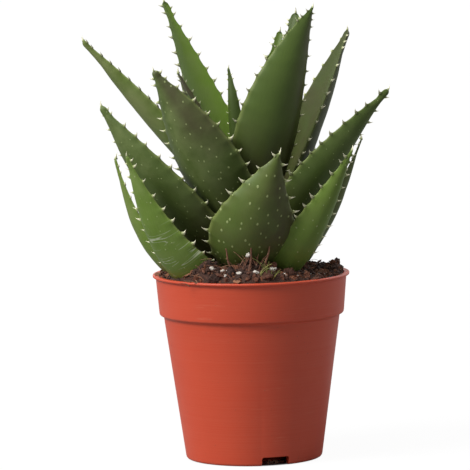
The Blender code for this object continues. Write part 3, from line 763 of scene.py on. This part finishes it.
def toothTool():  # one curved spine, a unit long, along +Z and hooked towards +X
    look = toothShape
    shape = bmesh.new()
    rings, steps = look["rings"], look["steps"]
    loops = []
    for level in range(rings):
        t = level / rings
        radius = look["stout"] * (1 - t) ** look["taper"] + look["point"]
        long, flat = radius * look["long"], radius * look["flat"]
        bend = look["bend"] * t ** look["bendFrom"]
        loop = []
        for step in range(steps):
            turn = math.tau * step / steps
            spot = (bend + long * math.cos(turn), flat * math.sin(turn), t - look["sunk"])
            loop.append(shape.verts.new(spot))
        loops.append(loop)
    point = shape.verts.new(look["tip"])
    for low, high in zip(loops, loops[1:]):
        for step in range(steps):
            after = (step + 1) % steps
            shape.faces.new((low[step], low[after], high[after], high[step]))
    for step in range(steps):
        shape.faces.new((loops[-1][step], loops[-1][(step + 1) % steps], point))
    shape.faces.new(loops[0][::-1])
    mesh = meshOf(shape, "toothTool")
    setAttribute(mesh, "toothRise", [vert.co.z for vert in mesh.vertices])
    shadeSmooth(mesh)
    return newObject("toothTool", mesh)


def toothTree():
    tree = NodeTree("leafTeeth", {
        "Tooth": "NodeSocketObject", "Length": "NodeSocketFloat", "Seed": "NodeSocketInt",
        "Skin": "NodeSocketMaterial", "Horn": "NodeSocketMaterial",
    })
    size = tree.named("tooth")
    here = tree.add("FunctionNodeCompare", {"operation": "GREATER_THAN"}, {0: size, 1: 0.01})
    turn = tree.add("FunctionNodeAxesToRotation", {"primary_axis": "Z", "secondary_axis": "X"},
                    {0: tree.named("lateral", "FLOAT_VECTOR"), 1: tree.named("forward", "FLOAT_VECTOR")})
    vary = tree.add("FunctionNodeRandomValue", {"data_type": "FLOAT"},
                    {2: 0.78, 3: 1.16, "Seed": tree.given("Seed")})
    scale = tree.product(tree.product(size, vary.outputs[1]), tree.given("Length"))
    tool = tree.add("GeometryNodeObjectInfo", None, {"Object": tree.given("Tooth")})
    teeth = tree.add("GeometryNodeInstanceOnPoints", None, {
        "Points": tree.given("Geometry"), "Selection": here.outputs[0],
        "Instance": tool.outputs["Geometry"], "Rotation": turn.outputs[0], "Scale": scale,
    })
    real = tree.add("GeometryNodeRealizeInstances", None, {0: teeth.outputs[0]})
    horn = tree.add("GeometryNodeSetMaterial", None, {0: real.outputs[0], "Material": tree.given("Horn")})
    skin = tree.add("GeometryNodeSetMaterial", None,
                    {0: tree.given("Geometry"), "Material": tree.given("Skin")})
    join = tree.add("GeometryNodeJoinGeometry")
    tree.tree.links.new(horn.outputs[0], join.inputs[0])
    tree.tree.links.new(skin.outputs[0], join.inputs[0])
    tree.ends(join.outputs[0])
    return tree


def makeLeaves():
    tool = toothTool()
    tree = toothTree()
    for seed, (name, leaf) in enumerate(leafSet.items(), 1):
        piece = newObject("fine_" + name, leafMesh("fine_" + name, leaf, seed), leafMat, toothMat)
        tree.hang(piece, {"Tooth": tool, "Length": mm, "Seed": seed, "Skin": leafMat, "Horn": toothMat})
        belongs(piece, "aloe_leaf", name)
    dropObject(tool)


makeLeaves()
print("leaves made")


# stem: scarred bark, seen only between leaf feet
stemShape = {
    "neck": 0.55, "swell": 0.45, "swellEnd": 0.35, "footFrom": 0.92, "footTaper": 5.0,
    "lump": 0.03, "lumpScale": 400, "scarShare": 0.9,
    "rings": 60, "steps": 40, "scar": 0.35, "scarPitch": 4.0}


def makeStem():
    low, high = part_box("stem")
    look = stemShape
    bottom, top, radius = low.z / mm, high.z / mm, (high.x - low.x) / 2 / mm
    profile = [(0.0, top)]
    for ring in range(look["rings"] + 1):
        share = ring / look["rings"]
        height = top - (top - bottom) * share
        swell = look["neck"] + look["swell"] * min(1.0, share / look["swellEnd"])
        taperFoot = 1.0 - max(0.0, share - look["footFrom"]) * look["footTaper"]
        scar = look["scar"] * abs(math.sin(math.pi * height / look["scarPitch"]))
        profile.append(((radius - look["scar"]) * swell * taperFoot + scar * look["scarShare"], height))
    profile.append((0.0, bottom))
    mesh = turnedMesh("stem_bark", profile, look["steps"])
    for vert in mesh.vertices:
        lump = look["lump"] * (noise.noise(vert.co * look["lumpScale"]) - 0.5)
        vert.co += Vector((vert.co.x, vert.co.y, 0)) * lump
    shadeSmooth(mesh)
    piece = newObject("fine_stem", mesh, barkMat)
    belongs(piece, "stem_bark", "stem")


makeStem()


# soil: a lumpy heap in the pot, with crumbs, fibres and perlite strewn on it
soilShape = {
    "edgeDrop": 1.6, "edgeFall": 12, "heap": 6.5, "frontHeap": 3.6, "rings": 70,
    "mounds": (  # height, middle x and y, spread x and y
        (6.6, 1, -37, 9, 5.5), (11.0, 47.0, 2, 4.5, 7), (5.5, -45.3, -6, 4, 6),
        (9.6, -26, -36.6, 9, 5), (8.0, -36, -27, 6, 5), (1.6, 10, -44, 12, 5),
        (-2.6, 34, -10, 8, 8), (-1.5, 20, -44, 9, 6),
    ),
    "heapPower": 3.2, "frontLean": 0.25, "frontRing": 43, "frontWide": 7.0, "calmEdge": 0.6,
    "steps": 200, "gap": 0.3, "lumpSize": 11.0,
    "lump": 1.3, "crumbSize": 3.0, "crumb": 0.9,
}


def soilTop(x, y):
    look = soilShape
    edge = innerWall()[-1][0]
    share = min(math.hypot(x, y) / edge, 1.0)
    away = math.hypot(x, y) + 0.001
    base = lipHeight / mm - look["edgeDrop"] + look["heap"] * (1 - share ** look["heapPower"])
    front = max(0.0, (-y - look["frontLean"] * x) / away) ** 2
    base += look["frontHeap"] * front * math.exp(-((away - look["frontRing"]) / look["frontWide"]) ** 2)
    for height, middleX, middleY, wideX, wideY in look["mounds"]:
        off = ((x - middleX) / wideX) ** 2 + ((y - middleY) / wideY) ** 2
        base += height * (1 - share ** look["edgeFall"]) * math.exp(-off)
    big = noise.noise(Vector((x, y, 3.0)) / look["lumpSize"]) * look["lump"]
    small = noise.fractal(Vector((x, y, 7.0)) / look["crumbSize"], 0.9, 2.0, 4) * look["crumb"]
    return base + (big + small) * (1 - share ** 8 * look["calmEdge"])


def makeSoil():
    look = soilShape
    gap = look["gap"]
    wall = innerWall()
    floor = [(radius - gap, height + gap) for radius, height in (
        (0.3, potShape["wall"]), (potShape["centreRadius"] - potShape["wall"], potShape["wall"]),
        (potShape["centreRadius"] + potShape["floorSlope"] - potShape["wall"], wall[0][1]), wall[0])]
    edge = wall[-1][0] - gap - 0.25
    rows = [(edge * ring / look["rings"], None) for ring in range(1, look["rings"] + 1)]
    rows += [(wall[2][0] - gap, wall[2][1]), (wall[1][0] - gap, wall[1][1])] + floor[:0:-1]
    steps = look["steps"]
    verts = [(0.0, 0.0, soilTop(0, 0) * mm)]
    for radius, height in rows:
        for step in range(steps):
            turn = math.tau * step / steps
            x, y = radius * math.cos(turn), radius * math.sin(turn)
            z = soilTop(x, y) if height is None else height
            verts.append((x * mm, y * mm, z * mm))
    verts.append((0.0, 0.0, floor[0][1] * mm))
    faces = [(0, 1 + step, 1 + (step + 1) % steps) for step in range(steps)]
    for ring in range(len(rows) - 1):
        low, high = 1 + ring * steps, 1 + (ring + 1) * steps
        for step in range(steps):
            after = (step + 1) % steps
            faces.append((low + step, high + step, high + after, low + after))
    last = 1 + (len(rows) - 1) * steps
    faces += [(last + (step + 1) % steps, last + step, len(verts) - 1) for step in range(steps)]
    mesh = bpy.data.meshes.new("fine_soil")
    mesh.from_pydata(verts, [], faces)
    inward = np.full(len(verts), -1.0)  # mm from the soil's edge, and below 0 off its top
    ringOf = np.arange(look["rings"] * steps) // steps + 1
    inward[0], inward[1:1 + len(ringOf)] = edge, edge * (1 - ringOf / look["rings"])
    setAttribute(mesh, "inward", inward)
    setAttribute(mesh, "crumbShade", np.full(len(verts), 0.30))
    shadeSmooth(mesh)
    piece = newObject("fine_soil", mesh, peatMat)
    return piece


def strewnTree(name):
    tree = NodeTree(name, {
        "Bits": "NodeSocketCollection", "Density": "NodeSocketFloat", "Seed": "NodeSocketInt",
        "Smallest": "NodeSocketFloat", "Largest": "NodeSocketFloat", "Tilt": "NodeSocketFloat",
        "Finish": "NodeSocketMaterial", "Margin": "NodeSocketFloat",
    })
    here = tree.add("FunctionNodeCompare", {"operation": "GREATER_THAN"},
                    {0: tree.named("inward"), 1: tree.given("Margin")})
    spread = tree.add("GeometryNodeDistributePointsOnFaces", None, {
        "Mesh": tree.given("Geometry"), "Selection": here.outputs[0],
        "Density": tree.given("Density"), "Seed": tree.given("Seed"),
    })
    bits = tree.add("GeometryNodeCollectionInfo", None,
                    {"Collection": tree.given("Bits"), "Separate Children": True, "Reset Children": True})
    size = tree.add("FunctionNodeRandomValue", {"data_type": "FLOAT"}, {
        2: tree.given("Smallest"), 3: tree.given("Largest"), "Seed": tree.given("Seed")})
    tilt = tree.given("Tilt")
    lean = tree.add("ShaderNodeCombineXYZ", None, {0: tilt, 1: tilt, 2: math.tau})
    leanBack = tree.add("ShaderNodeVectorMath", {"operation": "SCALE"}, {0: lean.outputs[0], "Scale": -1.0})
    turn = tree.add("FunctionNodeRandomValue", {"data_type": "FLOAT_VECTOR"}, {
        0: leanBack.outputs[0], 1: lean.outputs[0], "Seed": tree.given("Seed")})
    strewn = tree.add("GeometryNodeInstanceOnPoints", None, {
        "Points": spread.outputs[0], "Instance": bits.outputs[0], "Pick Instance": True,
        "Rotation": turn.outputs[0], "Scale": size.outputs[1]})
    shade = tree.add("FunctionNodeRandomValue", {"data_type": "FLOAT"}, {2: 0.0, 3: 1.0, "Seed": 5})
    marked = tree.add("GeometryNodeStoreNamedAttribute", {"data_type": "FLOAT", "domain": "INSTANCE"}, {
        0: strewn.outputs[0], "Name": "crumbShade", "Value": shade.outputs[1]})
    real = tree.add("GeometryNodeRealizeInstances", None, {0: marked.outputs[0]})
    done = tree.add("GeometryNodeSetMaterial", None, {0: real.outputs[0], "Material": tree.given("Finish")})
    tree.ends(done.outputs[0])
    return tree


crumbShape = {"round": 0.8, "coarse": 2.3, "fine": 6.0, "fineShare": 0.5, "rough": 0.55, "longer": 0.3}
fibreShape = {"points": 9, "arch": 0.12, "wobble": 0.05, "taper": 0.55}


def crumbTool(seed, detail, flatten, stretch):  # a rough lump of unit size
    look = crumbShape
    shape = bmesh.new()
    bmesh.ops.create_cube(shape, size=1.0)
    bmesh.ops.subdivide_edges(shape, edges=shape.edges, cuts=detail, use_grid_fill=True)
    for vert in shape.verts:
        vert.co = vert.co.lerp(vert.co.normalized() * 0.5, look["round"])
        rough = noise.noise(vert.co * look["coarse"] + Vector((seed * 5.1, 0, 0)))
        fine = noise.noise(vert.co * look["fine"] + Vector((0, seed * 3.3, 0)))
        rough += look["fineShare"] * fine
        vert.co *= 1.0 + look["rough"] * rough
        vert.co.z *= flatten
        vert.co.x *= stretch + look["longer"] * ((seed * 0.37) % 1)
    return meshOf(shape, "crumbTool")


def fibreTool(seed, bend, thick):  # a thin curved thread of unit length
    look = fibreShape
    curve = bpy.data.curves.new("fibreTool", "CURVE")
    curve.dimensions = "3D"
    curve.bevel_depth = thick
    curve.bevel_resolution = 0
    curve.use_fill_caps = True
    spline = curve.splines.new("POLY")
    spline.points.add(look["points"] - 1)
    for index, point in enumerate(spline.points):
        t = index / (look["points"] - 1)
        side = bend * math.sin(math.pi * t * (1 + seed % 3)) * 0.5
        rise = look["arch"] * math.sin(math.pi * t) + look["wobble"] * math.sin(7 * t + seed)
        point.co = (t - 0.5, side, rise, 1.0)
        point.radius = 1.0 - look["taper"] * t
    return curve


def toolBox(name, shapes):
    box = bpy.data.collections.new(name)
    bpy.context.scene.collection.children.link(box)
    for index, shape in enumerate(shapes):
        box.objects.link(bpy.data.objects.new(f"{name}{index}", shape))
    return box


def emptyBox(box):
    for tool in list(box.objects):
        dropObject(tool)
    bpy.data.collections.remove(box)


# densities are pieces per square metre of soil; sizes in metres
strewnSets = (
    dict(name="peat_clods", tool="crumb", form=(5, 0.7, 1.0), density=5200, sizes=(0.0035, 0.0062),
         tilt=3.1, finish=peatMat, slot="potting_soil", seed=40),
    dict(name="peat_crumbs", tool="crumb", form=(1, 0.8, 1.0), density=120000, sizes=(0.0012, 0.0034),
         tilt=3.1, finish=peatMat, slot="potting_soil", seed=3),
    dict(name="peat_dust", tool="crumb", form=(1, 0.7, 1.0), density=420000, sizes=(0.0004, 0.0012),
         tilt=3.1, finish=peatMat, slot="potting_soil", seed=8),
    dict(name="bark_bits", tool="crumb", form=(1, 0.3, 2.2), density=15000, sizes=(0.0016, 0.0040),
         tilt=0.7, finish=chipMat, slot="potting_soil", seed=31),
    dict(name="perlite_fines", tool="crumb", form=(2, 0.8, 1.0), density=7000, sizes=(0.0007, 0.0019),
         tilt=3.1, finish=perliteMat, slot="perlite", seed=21),
    dict(name="coir_threads", tool="fibre", bend=0.9, thick=0.020, density=38000, sizes=(0.003, 0.010),
         margin=4.5, tilt=0.32, finish=strawMat, slot="dry_stalk", seed=13),
)


def strewSoil(soil):
    tree = strewnTree("strewnBits")
    for look in strewnSets:
        if look["tool"] == "crumb":
            shapes = [crumbTool(look["seed"] + k, *look["form"]) for k in range(5)]
        else:
            shapes = [fibreTool(k, look["bend"] * (0.3 + 0.25 * k), look["thick"]) for k in range(5)]
        box = toolBox(look["name"] + "Tool", shapes)
        piece = newObject(look["name"], soil.data.copy())
        tree.hang(piece, {
            "Bits": box, "Density": float(look["density"]), "Seed": look["seed"],
            "Smallest": look["sizes"][0], "Largest": look["sizes"][1], "Tilt": look["tilt"],
            "Finish": look["finish"], "Margin": look.get("margin", 0.4)})
        emptyBox(box)
        belongs(piece, look["slot"])
        print(look["name"], len(piece.data.polygons), "faces")


soilPiece = makeSoil()
strewSoil(soilPiece)
belongs(soilPiece, "potting_soil", "soil")
print("soil made")


# perlite: chalky lumps where the frame has its grains
perliteShape = {
    "detail": 4, "rough": 0.42, "pits": 0.16, "grow": 0.92, "sink": 0.22,
    "lumpScale": 2.2, "pitScale": 9.0,
    "caught": {"perlite_07": Vector((2.6, -5.2, 4.4))},  # a grain held up in the litter, mm off its place
    "caughtSize": 0.9,
}


def makePerlite():
    look = perliteShape
    for number, name in enumerate(sorted(n for n in frame["nodes"] if n.startswith("perlite_"))):
        low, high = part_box(name)
        centre, size = (low + high) / 2, high - low
        if name in look["caught"]:
            size = Vector((size.z, size.y, size.z)) * look["caughtSize"]
        centre.z = soilTop(centre.x / mm, centre.y / mm) * mm + size.z * (0.5 - look["sink"])
        centre += look["caught"].get(name, Vector()) * mm
        shape = bmesh.new()
        bmesh.ops.create_icosphere(shape, subdivisions=look["detail"], radius=0.5)
        for vert in shape.verts:
            spot = vert.co * look["lumpScale"] + Vector((number * 7.0, 0, 0))
            pits = noise.noise(vert.co * look["pitScale"] + spot) * look["pits"]
            rough = noise.noise(spot) * look["rough"] + pits
            vert.co *= look["grow"] * (1 + rough)
            vert.co = Vector([v * s for v, s in zip(vert.co, size)])
            vert.co += centre
        mesh = meshOf(shape, "fine_" + name)
        setAttribute(mesh, "crumbShade", np.full(len(mesh.vertices), 0.55 + 0.06 * (number % 6)))
        shadeSmooth(mesh)
        belongs(newObject("fine_" + name, mesh, perliteMat), "perlite", name)


makePerlite()


# stalks: dry, broken, fibrous stems and a little tuft of sprouts at their feet
stalkShape = {"steps": 10, "rings": 26, "taper": 0.45, "kink": 0.5, "ridge": 0.12, "sink": 1.0,
              "stout": 1.3}
rootShape = {"perSlot": 7, "reach": (30.5, 33.2), "rise": (1.0, 2.6), "radius": 0.17, "seed": 11,
             "side": 5.5, "sweep": 4.5, "rings": 12, "lift": 0.5, "wave": 0.25, "bow": 1.2}
tuftShape = {"rings": 12, "bowPower": 1.4, "sink": 0.6, "foot": 1.15, "taper": 0.8}
tuftSets = (
    dict(name="weed_sprout", count=16, length=(4.0, 10.0), radius=0.26, spot=(8.0, -44.0),
         spread=(5.5, 2.6), leanFrom=(-0.9, -0.7), leanTo=(0.9, 0.1), droop=0.3, finish=sproutMat, seed=4),
    dict(name="dry_fibre", count=18, length=(3.0, 11.0), radius=0.30, spot=(-1.0, -41.0),
         spread=(7.0, 3.0), leanFrom=(-0.8, -0.5), leanTo=(0.8, 0.0), droop=0.15, finish=strawMat, seed=9),
    dict(name="bark_fibre", count=14, length=(3.0, 7.0), radius=0.34, spot=(-24.0, -41.0),
         spread=(13.0, 3.0), leanFrom=(-1.6, -0.6), leanTo=(1.6, 0.2), droop=0.5, finish=strawMat, seed=15),
)


def tubeMesh(name, path, radii, steps, ridge=0.0, seed=0):
    path = np.array(path)
    tangent = unit(np.gradient(path, axis=0))
    verts = []
    for index, (spot, way, radius) in enumerate(zip(path, tangent, radii)):
        first = unit(np.cross(way, (0.3, 1.0, 0.2)))
        second = np.cross(way, first)
        for step in range(steps):
            turn = math.tau * step / steps
            reach = radius * (1 + ridge * math.cos(5 * turn + seed) + ridge * math.sin(index * 1.7 + seed))
            verts.append(tuple((spot + reach * (math.cos(turn) * first + math.sin(turn) * second)) * mm))
    faces = bands(len(path), steps)
    faces.append(tuple(range(steps))[::-1])
    faces.append(tuple(range(len(verts) - steps, len(verts))))
    mesh = bpy.data.meshes.new(name)
    mesh.from_pydata(verts, [], faces)
    setAttribute(mesh, "crumbShade", np.full(len(verts), 0.35 + 0.13 * (seed % 5)))
    faceOut(mesh)
    shadeSmooth(mesh)
    return mesh


def makeStalks():
    look = stalkShape
    for number, name in enumerate(sorted(n for n in frame["nodes"] if n.startswith("dry_stalk_"))):
        low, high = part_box(name)
        body = [Vector(v.co) for v in frame["nodes"][name].data.vertices]
        foot = min(body, key=lambda v: v.z) / mm
        head = max(body, key=lambda v: v.z) / mm
        radius = look["stout"] * (high.y - low.y) / 2 / mm
        lift = soilTop(foot.x, foot.y) - foot.z - look["sink"]
        path, radii = [], []
        for ring in range(look["rings"]):
            t = ring / (look["rings"] - 1)
            spot = foot.lerp(head, t)
            wave = look["kink"] * math.sin(math.pi * t) * math.sin(5 * t + number * 2)
            path.append((spot.x + wave, (low.y + high.y) / 2 / mm + wave * 0.5, spot.z + lift))
            radii.append(radius * (1 - look["taper"] * t))
        mesh = tubeMesh("fine_" + name, path, radii, look["steps"], look["ridge"], number)
        belongs(newObject("fine_" + name, mesh, strawMat), "dry_stalk", name)


def makeTufts():  # fine stems that rise from the litter, each bowing its own way
    shape = tuftShape
    for look in tuftSets:
        random = np.random.default_rng(look["seed"])
        for number in range(look["count"]):
            x, y = np.array(look["spot"]) + random.uniform(-1, 1, 2) * look["spread"]
            length = random.uniform(*look["length"])
            lean = random.uniform(look["leanFrom"], look["leanTo"])
            path, radii = [], []
            for ring in range(shape["rings"]):
                t = ring / (shape["rings"] - 1)
                bow = length * t ** shape["bowPower"]
                path.append((x + lean[0] * bow, y + lean[1] * bow,
                             soilTop(x, y) - shape["sink"] + length * (t - look["droop"] * t ** 2)))
                radii.append(look["radius"] * (shape["foot"] - shape["taper"] * t))
            mesh = tubeMesh(f"{look['name']}_{number + 1}", path, radii, 6, 0.1, number)
            belongs(newObject(mesh.name, mesh, look["finish"]), "dry_stalk")


def makeRoots():  # a few pale root ends that hang into each drain slot
    look = rootShape
    random = np.random.default_rng(look["seed"])
    for slot in range(potShape["drainCount"]):
        turn = math.radians(potShape["drainTurn"] + slot * 360.0 / potShape["drainCount"])
        out = Vector((math.cos(turn), math.sin(turn), 0))
        along = Vector((-math.sin(turn), math.cos(turn), 0))
        for number in range(look["perSlot"]):
            start = out * random.uniform(*look["reach"]) + along * random.uniform(-look["side"], look["side"])
            sweep = random.uniform(-look["sweep"], look["sweep"])
            rise = random.uniform(*look["rise"])
            path = []
            for ring in range(look["rings"]):
                t = ring / (look["rings"] - 1)
                wave = look["wave"] * math.sin(9 * t + number)
                height = look["lift"] + rise * math.sin(math.pi * t) + wave
                bow = along * sweep * (t - 0.5) + out * look["bow"] * math.sin(3 * t)
                path.append(tuple(start + bow + Vector((0, 0, height))))
            name = f"root_end_{slot + 1}_{number + 1}"
            mesh = tubeMesh(name, path, np.full(look["rings"], look["radius"]), 5, 0.1, number)
            belongs(newObject(mesh.name, mesh, strawMat), "dry_stalk")


makeStalks()
makeTufts()
makeRoots()
print("litter made")


# floor, light and camera
studio = {
    "floorSize": 24.0, "floorGlow": 1.12, "floorWhite": 0.85,
    "lights": {"keyLight": ((50.0, 0.0, -60.0), 3.4, 26.0), "topLight": ((24.0, 0.0, -45.0), 1.0, 45.0),
               "backLight": ((60.0, 0.0, 125.0), 0.6, 60.0)},
    "ambient": 0.20, "floorGrey": 0.27, "cameraPlace": (0.0, -2.3, 0.364),
    "pan": -0.203, "tilt": 6.072, "roll": 1.1, "lens": 332.2, "sensor": 36.0,
}


def makeStudio():
    look = studio
    bpy.ops.mesh.primitive_grid_add(x_subdivisions=8, y_subdivisions=8, size=look["floorSize"])
    floor = bpy.context.object
    floor.name = "studio_floor"
    book = newBook("studioFloor")
    book.finish(Base_Color=(look["floorGrey"],) * 3, Roughness=0.9)
    glow = book.add("ShaderNodeEmission", None, {0: (1.0, 1.0, 1.0), 1: look["floorGlow"]})
    away = book.add("ShaderNodeVectorMath", {"operation": "LENGTH"}, {0: book.objectPlace()}, 1)
    clear = away.between(potShape["baseRadius"] * mm * 0.9, potShape["baseRadius"] * mm)
    seen = book.add("ShaderNodeLightPath", output="Is Camera Ray") * clear * look["floorWhite"]
    shader = Wire(book, book.tree.nodes["Principled BSDF"].outputs[0])
    both = book.add("ShaderNodeMixShader", None, {0: seen, 1: shader, 2: glow})
    book.tree.links.new(both.socket, book.tree.nodes["Material Output"].inputs["Surface"])
    floor.data.materials.append(book.owner)
    book = NodeBook(bpy.data.worlds.new("studioWorld"))
    sight = book.add("ShaderNodeLightPath", output="Is Camera Ray")
    gloss = book.add("ShaderNodeLightPath", output="Is Glossy Ray")
    strength = sight.maths("MAXIMUM", gloss) * (1.0 - look["ambient"]) + look["ambient"]
    background = book.tree.nodes["Background"]
    book.feed(background.inputs["Color"], (1.0, 1.0, 1.0))
    book.feed(background.inputs["Strength"], strength)
    bpy.context.scene.world = book.owner
    for name, (turn, power, soft) in look["lights"].items():
        light = bpy.data.lights.new(name, "SUN")
        light.energy = power
        light.angle = math.radians(soft)
        lamp = bpy.data.objects.new(name, light)
        lamp.rotation_euler = [math.radians(angle) for angle in turn]
        bpy.context.scene.collection.objects.link(lamp)


def makeCamera():
    look = studio
    pan, tilt, roll = (math.radians(look[key]) for key in ("pan", "tilt", "roll"))
    ahead = Vector((math.sin(pan) * math.cos(tilt), math.cos(pan) * math.cos(tilt), -math.sin(tilt)))
    right = Vector((math.cos(pan), -math.sin(pan), 0.0))
    up = right.cross(ahead)
    tiltedRight = right * math.cos(roll) - up * math.sin(roll)
    tiltedUp = right * math.sin(roll) + up * math.cos(roll)
    camera = bpy.data.cameras.new("studioCamera")
    camera.sensor_width = look["sensor"]
    camera.lens = look["lens"]
    camera.clip_end = 60.0
    stand = bpy.data.objects.new("studioCamera", camera)
    turn = Matrix((tiltedRight, tiltedUp, -ahead)).transposed().to_4x4()
    stand.matrix_world = Matrix.Translation(Vector(look["cameraPlace"])) @ turn
    bpy.context.scene.collection.objects.link(stand)
    bpy.context.scene.camera = stand
    bpy.context.scene.view_settings.view_transform = "Standard"


makeStudio()
makeCamera()
print("studio made")
